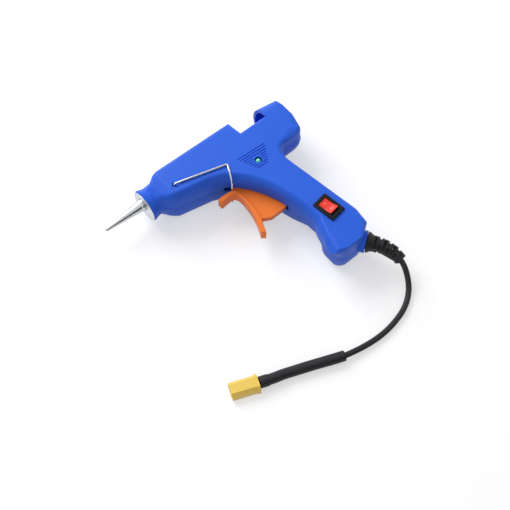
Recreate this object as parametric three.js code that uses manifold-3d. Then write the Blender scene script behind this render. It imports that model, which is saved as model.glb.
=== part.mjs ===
// Mini hot glue gun, lying on its right side, with its lead and a two pole connector.
// Millimetres. While the pieces are made, X runs from the nozzle tip to the tail along the glue
// stick's axis, Y points to the gun's top, and Z = 0 is the parting plane of the housing halves.

import * as THREE from 'three';
import { mergeVertices } from 'three/addons/utils/BufferGeometryUtils.js';
import Module from 'manifold-3d';

const wasm = await Module();
wasm.setup();

// Driving dimensions

const fit = 0.3; // running or seating gap between neighbours
const overrun = 1; // how far a cutter reaches past what it cuts
const stick = { radius: 3.5, bore: 4.2 };

const housing = {
  thickness: 27.5,
  wall: 1.8,
  edge: 3, // radius round the flat sides
  palm: 4, // how far the softer edge of the finger side reaches in
  palmDepth: 9, // and how far it reaches down
  seam: 0.3,
};
const barrel = {
  front: 31, shoulder: 38.7, back: 94.8,
  noseTop: 3.2, noseBottom: -8.3, top: 6.9, topBack: 5.5, bottom: -15.5, chin: 62, chinBottom: -20,
};
const collar = { front: 26.3, radius: 9.6, centre: -1.8, chamfer: 0.8 };
const notch = { lean: 1.4, floor: -4.4 };
const tail = {
  front: 114.6, top: 6.1, backTop: 3.3, sideTop: -4, end: 127.6, middle: -14, middleEnd: 126.6,
  heelEnd: 123, heel: 4.5, bottom: -23.2, root: 112.5,
};
const grip = {
  top: 105.8, topY: -34, heel: 113.9, heelY: -86, neck: 112.8, neckY: -94.5,
  cut: 103.5, cutY: -101.8, end: 94.5, endY: -102.3, toe: 88.2, toeY: -90, front: 91.7, frontY: -76,
};

const nozzle = {
  tip: 1.2, base: 3.4, baseX: 24.2, flare: 3.9, flareEnd: 26, shank: 3, shankEnd: 37.6,
  hole: 0.8, throat: 1.7, throatX: 18,
};
const washer = { radius: 7.2, width: 1.6 };
const chamber = { radius: 6.5, end: 60, flat: 7.2, throatEnd: 46 };
const pocket = { front: 40, top: -4.7, height: 2, halfWidth: 3.1 };
const heater = { length: 18 };
const clip = { from: 45.8, width: 8, gauge: 0.5, openingY: 1 };
const sleeve = { outer: 4.5, end: 70.4 };

const trigger = {
  pivotX: 77.5, pivotY: -20.5, hub: 3.3, webHalf: 1.9, plateHalf: 3.9, round: 0.7, edge: 0.3,
  arm: 10, armWidth: 2.4, armTip: 1.6,
  hornX: 60, backX: 73.3, topY: -27, endY: -61.4,
  webBottom: -55, webRear: 93.5,
};
const pin = { radius: 1.5, half: 10, boss: 3.6 };
const slot = { front: 68.6, bottomGap: 1.2 };
const carriage = {
  length: 11.2, radius: 6.3, top: 3.2, floor: -8.3, forkWall: 1.7, wing: 9.4, wingHalf: 1.4,
};
const gripRing = { width: 4, outer: 4.9, bore: 3.6 };
const rail = { height: 1.5, reach: 4 };
const spring = { radius: 2.1, wire: 0.6, turns: 6, y: -38, post: 1.2, postLength: 3.5 };

const lamp = { x: 91.6, y: -26, radius: 1.5, rim: 1.8, rimHeight: 1, body: 3, hole: 2.2, sunk: 0.2 };
const board = { length: 12, width: 8, gauge: 1.2, lug: 1.6 };
const resistor = { length: 5, radius: 0.9, offset: 3.2 };
const groove = {
  x: 82.2, y: -18.6, long: 19.4, drop: 11.6, leftLean: 5.2, rightLean: 6.2, width: 0.7, depth: 0.45,
  count: 8, turn: -3.2,
};

const rocker = {
  x: 101.6, y: -75.9, turn: -81.7, tilt: 9, half: 4.4, halfWidth: 3, rise: 1.9, depth: 3.2,
  axle: 0.9, axleHalf: 4, axleDepth: 1.2,
};
const frame = {
  length: 15, width: 10.6, rim: 1.1, bodyLength: 13, bodyWidth: 9.4, depth: 9, pocketDepth: 6, openHalf: 5.2,
};
const terminal = { width: 2.8, gauge: 0.6, length: 7.5, into: 1.8, spacing: 6.4 };

const screw = {
  shank: 1.1, head: 2.2, headHeight: 1.5, sunk: 0.5, boss: 2.8, length: 17, slotWidth: 0.6, slotDepth: 0.5,
  noseX: 48.7,
};

const stand = {
  radius: 0.6, gap: 0.25, x: 44, y: -8.2, bend: 1.1, hole: 0.95, shinZ: 11.3, footZ: 6.7,
  // how far its bends lie behind the barrel's chin, in shares of the way to the grip's front
  elbowShare: 136 / 297, kneeShare: 112 / 297, shinShare: 91 / 297, footShare: 82 / 297,
  elbowRise: 2.7, kneeDrop: 2.5, shinDrop: 7.1, footDrop: 8.1, // and how far above or below it
};

const neck = { radius: 6.6, depth: 6, face: 1.8 };
const boot = {
  root: 4.2, plug: 5.4, plugWidth: 2, flange: 6.15, flangeWidth: 1.4, start: 4.6, end: 3.5, ribs: 7, ribDepth: 0.75,
};
const cord = { radius: 1.7 };
const shrink = { radius: 3.05, step: 3.45, stepLength: 6, rings: 12 };
const plug = {
  x: 2.5, y: -120.7, turn: -22, length: 16.2, width: 9.2, height: 6, chamfer: 1.9, rim: 1.8, proud: 0.45,
  wall: 1.2, mouthDepth: 7.5, clear: 0.1,
};
const contact = { radius: 1.3, bore: 0.8, length: 8, spacing: 4.4, proud: 5 };

// The lead's route, as x, y and the height above the table: through the boot, down to the table
// and along it as a free cord, and through the shrink sleeve.
const bootRoute = [
  [105.2, -96.2, 15.3], [108.75, -101, 15.3], [110.8, -103.9, 15.25], [112.9, -106.9, 15],
  [114.8, -110, 14.6], [116.4, -113.6, 13.8], [117.4, -117.4, 12.6], [117.7, -120.9, 11.3],
];
const cordRoute = [
  [117.7, -121.2, 11.2], [117.3, -124.4, 9.5], [116.2, -128.1, 7], [114.4, -131.7, 4.6],
  [111.9, -135, 2.8], [108.3, -138.1, 2], [104.2, -140.6, 1.75], [99.4, -142.6, 1.75],
  [94, -144, 1.75], [88.2, -145, 1.75], [81.8, -145.4, 1.75], [74.8, -145.1, 1.95],
  [67.7, -144.2, 2.4], [61.9, -143.1, 2.9], [57.2, -141.95, 3.1],
];
const shrinkRoute = [
  [56.9, -141.8, 3.1], [51.3, -139.6, 3.1], [44.4, -136.7, 3.1], [37.4, -133.8, 3.1],
  [30.8, -131.2, 3.1], [24.4, -128.7, 3.2], [17.5, -126.6, 3.5], [10.3, -123.85, 3.55],
];

// Materials

const paint = (color, roughness, metalness = 0) =>
  new THREE.MeshStandardMaterial({ color, roughness, metalness });
const blue = paint(0x2f63dc, 0.42);
const orange = paint(0xff7a2c, 0.4);
const black = paint(0x1c1d22, 0.5);
const rubber = paint(0x17181b, 0.62);
const red = paint(0xe8382c, 0.3);
const yellow = paint(0xf6cf4e, 0.38);
const aluminium = paint(0xc9ccd0, 0.32, 1);
const steel = paint(0xb9bcc2, 0.25, 1);
const brass = paint(0xd9b256, 0.3, 1);
const silicone = paint(0xd8d4cc, 0.7);
const ceramic = paint(0xe9e4d8, 0.6);
const green = paint(0x7fe3b4, 0.2);
const laminate = paint(0x2e6b3f, 0.5);

// Geometry helpers

function solid(geometry) {
  const bare = geometry.clone();
  bare.deleteAttribute('normal');
  bare.deleteAttribute('uv');
  const merged = mergeVertices(bare);
  return new wasm.Manifold(new wasm.Mesh({
    numProp: 3,
    vertProperties: Float32Array.from(merged.attributes.position.array),
    triVerts: Uint32Array.from(merged.index.array),
  }));
}

function surface(manifold) {
  const mesh = manifold.getMesh();
  const geometry = new THREE.BufferGeometry();
  geometry.setAttribute('position', new THREE.BufferAttribute(new Float32Array(mesh.vertProperties), 3));
  geometry.setIndex(new THREE.BufferAttribute(new Uint32Array(mesh.triVerts), 1));
  geometry.computeVertexNormals();
  return geometry;
}

const join = (...parts) => parts.reduce((a, b) => a.add(b));
const radians = THREE.MathUtils.degToRad;

// A revolved profile of [radius, x] points, with its axis along X at height y.
function turned(profile, sides, y = 0) {
  const geometry = new THREE.LatheGeometry(profile.map(([r, x]) => new THREE.Vector2(r, x)), sides);
  geometry.rotateZ(-Math.PI / 2);
  geometry.translate(0, y, 0);
  return solid(geometry);
}

const rod = (radius, from, to, sides = 28, y = 0) =>
  turned([[0, from], [radius, from], [radius, to], [0, to]], sides, y);

// A round bar along Z.
function post(radius, x, y, from, to, sides = 18) {
  const geometry = new THREE.CylinderGeometry(radius, radius, to - from, sides);
  geometry.rotateX(Math.PI / 2);
  geometry.translate(x, y, (from + to) / 2);
  return solid(geometry);
}

function block(x0, x1, y0, y1, z0, z1, matrix = null) {
  const geometry = new THREE.BoxGeometry(x1 - x0, y1 - y0, z1 - z0);
  geometry.translate((x0 + x1) / 2, (y0 + y1) / 2, (z0 + z1) / 2);
  if (matrix) geometry.applyMatrix4(matrix);
  return solid(geometry);
}

const outline = (points) => new THREE.Shape(points.map(([x, y]) => new THREE.Vector2(x, y)));

// A flat outline given a thickness from one height to another.
function slab(shape, from, to) {
  const geometry = new THREE.ExtrudeGeometry(shape, { depth: to - from, bevelEnabled: false });
  geometry.translate(0, 0, from);
  return solid(geometry);
}

// An outline as a slab with soft edges, which reach in by size and down by depth on each side.
function softSlab(shape, thickness, size, depth, inset, segments) {
  const straight = thickness - 2 * depth;
  const reach = inset > 0 ? size / 2 : size;
  const geometry = new THREE.ExtrudeGeometry(shape, {
    depth: straight,
    bevelThickness: depth - inset,
    bevelSize: reach,
    bevelOffset: -reach - inset,
    bevelSegments: segments,
    curveSegments: 8,
  });
  geometry.translate(0, 0, -straight / 2);
  return solid(geometry);
}

// A closed round tube along a curve, through stations of [distance, radius].
function loft(curve, stations, sides) {
  const length = curve.getLength();
  const up = new THREE.Vector3(0, 0, 1);
  const positions = [];
  const index = [];
  stations.forEach(([distance, radius], i) => {
    const share = Math.min(1, distance / length);
    const centre = curve.getPointAt(share);
    const tangent = curve.getTangentAt(share);
    const side = new THREE.Vector3().crossVectors(tangent, up).normalize();
    const top = new THREE.Vector3().crossVectors(side, tangent);
    for (let j = 0; j < sides; j += 1) {
      const angle = (2 * Math.PI * j) / sides;
      const point = centre.clone().addScaledVector(side, radius * Math.cos(angle))
        .addScaledVector(top, radius * Math.sin(angle));
      positions.push(point.x, point.y, point.z);
      if (i > 0) {
        const a = (i - 1) * sides + j;
        const b = (i - 1) * sides + ((j + 1) % sides);
        index.push(a, a + sides, b, b, a + sides, b + sides);
      }
    }
  });
  const last = (stations.length - 1) * sides;
  for (let j = 1; j < sides - 1; j += 1) {
    index.push(0, j, j + 1);
    index.push(last, last + j + 1, last + j);
  }
  const geometry = new THREE.BufferGeometry();
  geometry.setAttribute('position', new THREE.Float32BufferAttribute(positions, 3));
  geometry.setIndex(index);
  geometry.computeVertexNormals();
  return geometry;
}

// A round wire or cord of one radius along a curve.
function tube(path, radius, steps, sides) {
  const section = new THREE.Shape().absarc(0, 0, radius, 0, 2 * Math.PI, false);
  return new THREE.ExtrudeGeometry(section, {
    extrudePath: path, steps, curveSegments: sides / 2, bevelEnabled: false,
  });
}

const gun = new THREE.Group();

function add(name, geometry, material, parent = gun) {
  const mesh = new THREE.Mesh(geometry, material);
  mesh.name = name;
  parent.add(mesh);
}

const half = housing.thickness / 2;
const inner = half - housing.wall;

// Wire stand: one wire, with its axle through the housing, an arm along each side and two legs

function standPath() {
  const armZ = half + stand.gap + stand.radius;
  const bend = (share, rise, z) => [barrel.chin + share * (grip.front - barrel.chin), barrel.chinBottom + rise, z];
  const oneSide = (side) => [
    [stand.x, stand.y, armZ], bend(stand.elbowShare, stand.elbowRise, armZ),
    bend(stand.kneeShare, -stand.kneeDrop, armZ), bend(stand.shinShare, -stand.shinDrop, stand.shinZ),
    bend(stand.footShare, -stand.footDrop, stand.footZ),
  ].map(([x, y, z]) => new THREE.Vector3(x, y, side * z));
  const points = [...oneSide(-1).reverse(), ...oneSide(1)];
  const path = new THREE.CurvePath();
  const last = points[points.length - 1];
  let from = points[0];
  points.slice(1, -1).forEach((corner, i) => {
    const before = points[i].clone().sub(corner).setLength(stand.bend).add(corner);
    const after = points[i + 2].clone().sub(corner).setLength(stand.bend).add(corner);
    path.add(new THREE.LineCurve3(from, before));
    path.add(new THREE.QuadraticBezierCurve3(before, corner, after));
    from = after;
  });
  path.add(new THREE.LineCurve3(from, last));
  return path;
}

const standWire = tube(standPath(), stand.radius, 80, 6);
add('wire_stand', standWire, steel);

// The gun lies on the lower arm of its stand: that is the height of the table.
standWire.computeBoundingBox();
const tableZ = standWire.boundingBox.min.z;

const along = (points) => new THREE.CatmullRomCurve3(
  points.map(([x, y, height]) => new THREE.Vector3(x, y, tableZ + height)), false, 'centripetal');

// Housing outline at the parting plane

function fingerSide(shape) {
  const tall = barrel.chinBottom - grip.frontY;
  const wide = grip.front - barrel.chin;
  const pullShares = { up: 0.4, across: 0.62 };
  shape.quadraticCurveTo(grip.toe, (grip.toeY + grip.frontY) / 2, grip.front, grip.frontY);
  shape.bezierCurveTo(
    grip.front, grip.frontY + tall * pullShares.up,
    barrel.chin + wide * pullShares.across, barrel.chinBottom - housing.palm,
    barrel.chin, barrel.chinBottom);
}

function housingOutline() {
  const heelShare = tail.heel / (tail.middle - tail.bottom);
  const shape = new THREE.Shape();
  shape.moveTo(barrel.front, barrel.noseTop);
  shape.lineTo(barrel.shoulder, barrel.top);
  shape.lineTo(barrel.back, barrel.topBack);
  shape.lineTo(barrel.back + notch.lean, notch.floor);
  shape.lineTo(tail.end, notch.floor);
  shape.lineTo(tail.middleEnd, tail.middle);
  shape.lineTo(THREE.MathUtils.lerp(tail.heelEnd, tail.middleEnd, heelShare), tail.bottom + tail.heel);
  shape.quadraticCurveTo(tail.heelEnd, tail.bottom, tail.heelEnd - tail.heel, tail.bottom);
  shape.lineTo(tail.root, tail.bottom);
  shape.quadraticCurveTo(grip.top, tail.bottom, grip.top, grip.topY);
  shape.lineTo(grip.heel, grip.heelY);
  shape.lineTo(grip.neck, grip.neckY);
  shape.lineTo(grip.cut, grip.cutY);
  shape.lineTo(grip.end, grip.endY);
  shape.quadraticCurveTo(grip.toe, grip.endY, grip.toe, grip.toeY);
  fingerSide(shape);
  shape.lineTo(barrel.shoulder, barrel.bottom);
  shape.lineTo(barrel.front, barrel.noseBottom);
  return shape;
}

// The softer edge follows the finger side; elsewhere this outline lies well outside the housing.
function palmOutline() {
  const far = 2 * grip.heel;
  const fall = (barrel.chinBottom - barrel.bottom) / (barrel.chin - barrel.shoulder);
  const shape = new THREE.Shape();
  shape.moveTo(-far, far);
  shape.lineTo(far, far);
  shape.lineTo(far, 2 * grip.endY);
  shape.lineTo(grip.toe, 2 * grip.endY);
  shape.lineTo(grip.toe, grip.toeY);
  fingerSide(shape);
  shape.lineTo(-far, barrel.chinBottom - fall * (barrel.chin + far));
  return shape;
}

// The tail's raised stick guide, an arch seen along the stick, sinks to the rear, which is rounded.
function tailArch(inset) {
  const side = half - inset;
  const section = (x, top) => {
    const shape = new THREE.Shape();
    shape.moveTo(-side, tail.middle);
    shape.lineTo(side, tail.middle);
    shape.lineTo(side, tail.sideTop);
    shape.absellipse(0, tail.sideTop, side, top - inset - tail.sideTop, 0, Math.PI, false);
    return shape.getPoints(9).map(({ x: z, y }) => [x, y, z]);
  };
  const arch = wasm.Manifold.hull([...section(tail.front + inset, tail.top), ...section(tail.end, tail.backTop)]);
  const rear = new THREE.Shape();
  rear.moveTo(0, tail.middle);
  rear.lineTo(tail.middleEnd, tail.middle);
  rear.lineTo(tail.end, notch.floor);
  rear.quadraticCurveTo(tail.end, tail.backTop, tail.end - housing.edge, tail.top);
  rear.lineTo(tail.end - housing.edge, tail.end);
  rear.lineTo(0, tail.end);
  return arch.intersect(softSlab(rear, housing.thickness, housing.edge, housing.edge, inset, 3));
}

// The arch is open towards the notch, down to the notch's floor.
function tailMouth() {
  const side = half - housing.wall;
  const shape = new THREE.Shape();
  shape.moveTo(side, notch.floor);
  shape.absellipse(0, notch.floor, side, tail.top - housing.wall - notch.floor, 0, Math.PI, false);
  const depth = 2 * housing.wall;
  const geometry = new THREE.ExtrudeGeometry(shape, { depth, bevelEnabled: false, curveSegments: 12 });
  geometry.rotateY(Math.PI / 2);
  geometry.translate(tail.front - overrun, 0, 0);
  return solid(geometry);
}

function body(inset) {
  const flat = softSlab(housingOutline(), housing.thickness, housing.edge, housing.edge, inset, 3);
  const soft = softSlab(palmOutline(), housing.thickness, housing.palm, housing.palmDepth, inset, 5);
  const front = collar.front + inset;
  const radius = collar.radius - inset;
  const nose = turned([
    [0, front], [radius - collar.chamfer, front], [radius, front + collar.chamfer],
    [radius, barrel.shoulder], [0, barrel.shoulder],
  ], 32, collar.centre);
  return join(flat.intersect(soft), nose, tailArch(inset));
}

// The lead leaves through a round moulded neck across the grip's cut corner.

const bootCurve = along(bootRoute);
const leadHeading = new THREE.Vector2(bootRoute[1][0] - bootRoute[0][0], bootRoute[1][1] - bootRoute[0][1]);
const neckAt = leadHeading.length();

// A round bar along the lead's first direction, measured from the neck's face.
function leadBar(radius, from, to, sides) {
  const geometry = new THREE.CylinderGeometry(radius, radius, to - from, sides);
  geometry.rotateZ(-Math.PI / 2);
  geometry.translate((from + to) / 2, 0, 0);
  geometry.rotateZ(leadHeading.angle());
  geometry.translate(bootRoute[1][0], bootRoute[1][1], 0);
  return solid(geometry);
}

// Inside the housing: ribs, screw bosses, hinge bosses, rails and seats

const chamberFront = collar.front + housing.wall + fit + washer.width + fit;
const ribPlaces = [
  chamberFront + 2 * housing.wall, chamber.end - 3 * housing.wall, sleeve.end - 3 * housing.wall,
  tail.front + 2 * housing.wall,
];
const screwPlaces = {
  nose: [screw.noseX, barrel.bottom + screw.boss + fit],
  breech: [barrel.back - screw.boss - fit, trigger.pivotY + screw.boss],
  tail: [tail.heelEnd - 2 * screw.boss, tail.middle - screw.boss],
  grip: [grip.top - housing.wall, (grip.topY + grip.frontY) / 2],
  toe: [grip.end, grip.toeY - screw.boss],
};
const carriageFront = trigger.pivotX + trigger.armTip + fit + carriage.forkWall;
const carriageBack = carriageFront + carriage.length;
const boardTop = half - lamp.sunk - lamp.radius - lamp.body - lamp.rimHeight - fit;
const gripSlope = (grip.heel - grip.top) / (grip.topY - grip.heelY);
const springBack = grip.top + gripSlope * (grip.topY - spring.y) - housing.wall - fit;

function hingeBosses() {
  const { pivotX, pivotY, webHalf } = trigger;
  return post(pin.boss, pivotX, pivotY, -half, half)
    .subtract(post(pin.boss + overrun, pivotX, pivotY, -webHalf - fit, webHalf + fit));
}

function railBar(side, level) {
  const y = level * (carriage.wingHalf + fit + rail.height / 2);
  const reach = (carriage.wing - rail.height + half) / 2;
  const depth = half - carriage.wing + rail.height;
  return block(carriageFront - rail.reach, barrel.back, y - rail.height / 2, y + rail.height / 2,
    side * reach - depth / 2, side * reach + depth / 2);
}

function boardLug(side) {
  const x = lamp.x + side * (board.length - board.lug) / 2;
  return block(x - board.lug / 2, x + board.lug / 2, lamp.y - board.width / 2, lamp.y + board.width / 2,
    boardTop + fit, half);
}

function insides() {
  const ribs = ribPlaces.map((x) => block(x, x + housing.wall, grip.endY, 2 * barrel.top, -half, half));
  const bosses = Object.values(screwPlaces).map(([x, y]) => post(screw.boss, x, y, -half, half, 14));
  const rails = [railBar(-1, -1), railBar(-1, 1), railBar(1, -1), railBar(1, 1)];
  const springPost = rod(spring.post, springBack - spring.postLength, grip.heel, 12, spring.y);
  const neckBody = leadBar(neck.radius, -neck.depth, 0, 24);
  return join(...ribs, ...bosses, hingeBosses(), ...rails, boardLug(-1), boardLug(1), springPost, neckBody);
}

function triggerSlot() {
  const wide = trigger.webHalf + fit;
  const bottom = trigger.webBottom - slot.bottomGap;
  const top = trigger.pivotY + trigger.armTip;
  const back = grip.front + 2 * housing.wall;
  return slab(outline([
    [slot.front, top], [slot.front, 2 * trigger.pivotY], [grip.toe, bottom], [back, bottom],
    [back, 2 * trigger.pivotY], [trigger.pivotX + trigger.hub, top],
  ]), -wide, wide);
}

const rockerSeat = new THREE.Matrix4().makeRotationZ(radians(rocker.turn)).setPosition(rocker.x, rocker.y, half);

// Thin moulded lines in a wedge round the lamp.
function grooves() {
  const cuts = [];
  for (let i = 0; i < groove.count; i += 1) {
    const share = i / (groove.count - 1);
    const start = groove.x + share * groove.leftLean;
    const end = groove.x + groove.long - share * groove.rightLean;
    const matrix = new THREE.Matrix4().makeRotationZ(radians(groove.turn))
      .setPosition(start, groove.y - share * groove.drop, half);
    cuts.push(block(0, end - start, -groove.width / 2, groove.width / 2, -groove.depth, overrun, matrix));
  }
  return join(...cuts).subtract(post(lamp.hole + groove.width, lamp.x, lamp.y, 0, half + overrun));
}

// The stand's wire turns in a round hole beside a shallow sunk wedge.
function standSeat(side) {
  const depth = housing.wall / 3;
  const { x, y, hole, bend } = stand;
  const wedge = outline([
    [x - hole, y], [x - 3 * hole, y - 4 * hole], [x - hole, y - 3 * hole], [x + 4 * bend, y - hole],
    [x + bend, y + hole],
  ]);
  return side > 0 ? slab(wedge, half - depth, half + overrun) : slab(wedge, -half - overrun, depth - half);
}

function screwHole([x, y]) {
  return join(
    post(screw.shank + fit, x, y, -half - overrun, -half + screw.sunk + screw.length + fit, 14),
    post(screw.head + fit, x, y, -half - overrun, -half + screw.sunk + screw.headHeight + fit, 14));
}

const outer = join(body(0), leadBar(neck.radius, -neck.depth, 0, 24));
const hollow = body(housing.wall).subtract(insides());
const bores = join(
  triggerSlot(),
  tailMouth(),
  rod(nozzle.shank + fit, collar.front - overrun, chamberFront, 24),
  rod(chamber.radius + fit, chamberFront, chamber.end, 32, collar.centre),
  rod(sleeve.outer + fit, chamber.end, sleeve.end, 28),
  rod(stick.bore, barrel.back - 2 * housing.wall, tail.end + overrun, 28),
  post(pin.radius + fit, trigger.pivotX, trigger.pivotY, -pin.half - fit, pin.half + fit),
  post(stand.hole, stand.x, stand.y, -half - overrun, half + overrun, 12),
  leadBar(boot.root + fit, -neck.depth, overrun, 20),
  leadBar(boot.plug + fit, -neck.depth - overrun, -neck.face, 20),
  ...Object.values(screwPlaces).map(screwHole));

function shell(side) {
  const from = side > 0 ? housing.seam / 2 : -housing.thickness;
  const to = side > 0 ? housing.thickness : -housing.seam / 2;
  const space = block(0, 2 * grip.heel, 2 * grip.endY, -grip.endY, from, to);
  const cut = outer.subtract(hollow).subtract(bores).intersect(space).subtract(standSeat(side));
  if (side < 0) return cut;
  const windowX = frame.bodyLength / 2 + fit;
  const windowY = frame.bodyWidth / 2 + fit;
  return cut.subtract(grooves())
    .subtract(block(-windowX, windowX, -windowY, windowY, -2 * housing.wall, overrun, rockerSeat))
    .subtract(post(lamp.hole, lamp.x, lamp.y, inner - overrun, half + overrun));
}

add('left_shell', surface(shell(1)), blue);
add('right_shell', surface(shell(-1)), blue);

// Nozzle, melt chamber and heater

function nozzleProfile() {
  const flareX = nozzle.baseX + nozzle.flare - nozzle.base;
  return [
    [nozzle.hole, 0], [nozzle.tip, 0], [nozzle.base, nozzle.baseX], [nozzle.flare, flareX],
    [nozzle.flare, nozzle.flareEnd], [nozzle.shank, nozzle.flareEnd], [nozzle.shank, nozzle.shankEnd],
    [nozzle.throat, nozzle.shankEnd], [nozzle.throat, nozzle.throatX], [nozzle.hole, nozzle.throatX - nozzle.throat],
    [nozzle.hole, 0],
  ];
}
add('nozzle', surface(turned(nozzleProfile(), 32)), aluminium);

const washerFrom = collar.front + housing.wall + fit;
const washerTo = washerFrom + washer.width;
add('heat_washer', surface(
  rod(washer.radius, washerFrom, washerTo, 28, collar.centre)
    .subtract(rod(nozzle.shank + fit, washerFrom - overrun, washerTo + overrun, 24))), silicone);

function meltChamber() {
  const shankHole = nozzle.shankEnd + fit;
  const bore = turned([
    [0, chamberFront - overrun], [nozzle.shank + fit, chamberFront - overrun], [nozzle.shank + fit, shankHole],
    [nozzle.throat, shankHole + nozzle.throat], [stick.radius + fit, chamber.throatEnd],
    [stick.radius + fit, chamber.end + overrun], [0, chamber.end + overrun],
  ], 28);
  const below = block(0, 2 * chamber.end, -2 * chamber.flat, -chamber.flat, -half, half);
  const heaterSlot = block(
    pocket.front, chamber.end + overrun, pocket.top - pocket.height, pocket.top, -pocket.halfWidth, pocket.halfWidth);
  return rod(chamber.radius, chamberFront, chamber.end, 32, collar.centre)
    .subtract(bore).subtract(below).subtract(heaterSlot);
}
add('melt_chamber', surface(meltChamber()), aluminium);

add('heater_plate', surface(block(
  pocket.front + fit, pocket.front + fit + heater.length, pocket.top - pocket.height + fit, pocket.top - fit,
  -pocket.halfWidth + fit, pocket.halfWidth - fit)), ceramic);

function heaterClip() {
  const bore = chamber.radius + fit;
  const to = clip.from + clip.width;
  return rod(bore + clip.gauge, clip.from, to, 32, collar.centre)
    .subtract(rod(bore, clip.from - overrun, to + overrun, 32, collar.centre))
    .subtract(block(0, 2 * chamber.end, clip.openingY, half, -half, half));
}
add('heater_clip', surface(heaterClip()), steel);

add('guide_sleeve', surface(
  rod(sleeve.outer, chamber.end + fit, sleeve.end)
    .subtract(rod(stick.radius + fit, chamber.end, sleeve.end + overrun))), silicone);

// Trigger: a curved finger plate with a hooked top, on a flat web that swings into the grip

const fingerFrontShares = [
  [0.05, 0.081], [0.14, 0.094], [0.618, 0.077], [0.809, 0.11], [0.881, 0.222], [0.85, 0.428], [0.707, 0.685],
  [0.594, 0.799], [0.429, 0.945],
];
const fingerBackShares = [
  [0.6, 1], [0.775, 0.842], [0.903, 0.72], [0.992, 0.469], [1, 0.3], [0.952, 0.131], [0.828, 0.032],
  [0.662, 0.004], [0.05, 0],
];

function fingerPoint([u, v]) {
  return new THREE.Vector2(
    trigger.hornX + u * (trigger.backX - trigger.hornX), trigger.topY + v * (trigger.endY - trigger.topY));
}

function fingerPlate() {
  const front = new THREE.SplineCurve(fingerFrontShares.map(fingerPoint)).getPoints(16);
  const back = new THREE.SplineCurve(fingerBackShares.map(fingerPoint)).getPoints(16);
  const flat = 2 * (trigger.plateHalf - trigger.edge);
  const geometry = new THREE.ExtrudeGeometry(new THREE.Shape([...front, ...back]), {
    depth: flat, bevelThickness: trigger.edge, bevelSize: trigger.edge, bevelOffset: -trigger.edge, bevelSegments: 1,
  });
  geometry.translate(0, 0, -flat / 2);
  return solid(geometry);
}

function triggerSolid() {
  const { pivotX, pivotY, webHalf, hub, arm, armTip, armWidth, webBottom, webRear, round } = trigger;
  const plateBack = trigger.backX - round;
  const web = slab(outline([
    [pivotX - hub, pivotY], [plateBack - round, trigger.topY - 2 * round], [plateBack, spring.y],
    [plateBack - 2 * round, webBottom + hub], [pivotX, webBottom], [pivotX + arm, webBottom],
    [webRear, webBottom + hub], [webRear - round, spring.y],
    [pivotX + arm - armTip, pivotY - trigger.plateHalf], [pivotX + hub, pivotY],
  ]), -webHalf, webHalf);
  const lever = join(
    post(hub, pivotX, pivotY, -webHalf, webHalf, 20),
    block(pivotX - armWidth / 2, pivotX + armWidth / 2, pivotY, pivotY + arm, -webHalf, webHalf),
    post(armTip, pivotX, pivotY + arm, -webHalf, webHalf, 14));
  return join(fingerPlate(), web, lever).subtract(post(pin.radius + fit, pivotX, pivotY, -half, half));
}
add('trigger', surface(triggerSolid()), orange);
add('trigger_pin', surface(post(pin.radius, trigger.pivotX, trigger.pivotY, -pin.half, pin.half)), steel);

// Feeder: the lever's tip sits in a fork under the carriage, which slides on rails to the nozzle

const ringSeat = carriageFront + 2 * carriage.forkWall;

function feederCarriage() {
  const slotHalf = trigger.armTip + fit;
  const wide = trigger.webHalf;
  const base = carriage.floor + 2 * carriage.forkWall;
  const drop = trigger.pivotY + trigger.arm - trigger.armTip;
  const front = trigger.pivotX - slotHalf - carriage.forkWall;
  const saddle = rod(carriage.radius, carriageFront, carriageBack, 28, collar.centre)
    .intersect(block(0, 2 * grip.heel, carriage.floor, carriage.top, -half, half));
  const wings = block(
    carriageFront, carriageBack, -carriage.wingHalf, carriage.wingHalf, -carriage.wing, carriage.wing);
  const foot = block(front, carriageBack, carriage.floor, base, -wide, wide);
  const teeth = [front, trigger.pivotX + slotHalf].map((x) =>
    block(x, x + carriage.forkWall, drop, base, -wide, wide));
  return join(saddle, wings, foot, ...teeth)
    .subtract(rod(stick.radius + fit, front - overrun, carriageBack + overrun))
    .subtract(rod(gripRing.outer + fit, ringSeat, ringSeat + gripRing.width + 2 * fit));
}
add('feeder_carriage', surface(feederCarriage()), black);

add('feeder_grip_ring', surface(
  rod(gripRing.outer, ringSeat + fit, ringSeat + fit + gripRing.width)
    .subtract(rod(gripRing.bore, ringSeat, ringSeat + gripRing.width + overrun))
    .intersect(block(0, 2 * grip.heel, -half, carriage.top, -half, half))), rubber);

// Return spring between the trigger's web and the back of the grip

class Coil extends THREE.Curve {
  constructor(from, to) {
    super();
    this.from = from;
    this.to = to;
  }

  getPoint(t) {
    const angle = 2 * Math.PI * spring.turns * t;
    return new THREE.Vector3(
      this.from + (this.to - this.from) * t,
      spring.y + spring.radius * Math.cos(angle), spring.radius * Math.sin(angle));
  }
}
const springFront = trigger.webRear - trigger.round + fit + spring.wire / 2;
add('return_spring', tube(
  new Coil(springFront, springBack - spring.wire / 2), spring.wire / 2, 8 * spring.turns, 6), steel);

// Indicator lamp on its small board

function lampSolid() {
  const foot = boardTop + fit;
  const bodyZ = foot + lamp.rimHeight;
  const domeZ = bodyZ + lamp.body;
  const profile = [[0, foot], [lamp.rim, foot], [lamp.rim, bodyZ], [lamp.radius, bodyZ]];
  const steps = 5;
  for (let i = 0; i < steps; i += 1) {
    const angle = (Math.PI / 2) * (i / steps);
    profile.push([lamp.radius * Math.cos(angle), domeZ + lamp.radius * Math.sin(angle)]);
  }
  profile.push([0, domeZ + lamp.radius]);
  const geometry = new THREE.LatheGeometry(profile.map(([r, z]) => new THREE.Vector2(r, z)), 18);
  geometry.rotateX(Math.PI / 2);
  geometry.translate(lamp.x, lamp.y, 0);
  return solid(geometry);
}
add('indicator_lamp', surface(lampSolid()), green);

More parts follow.
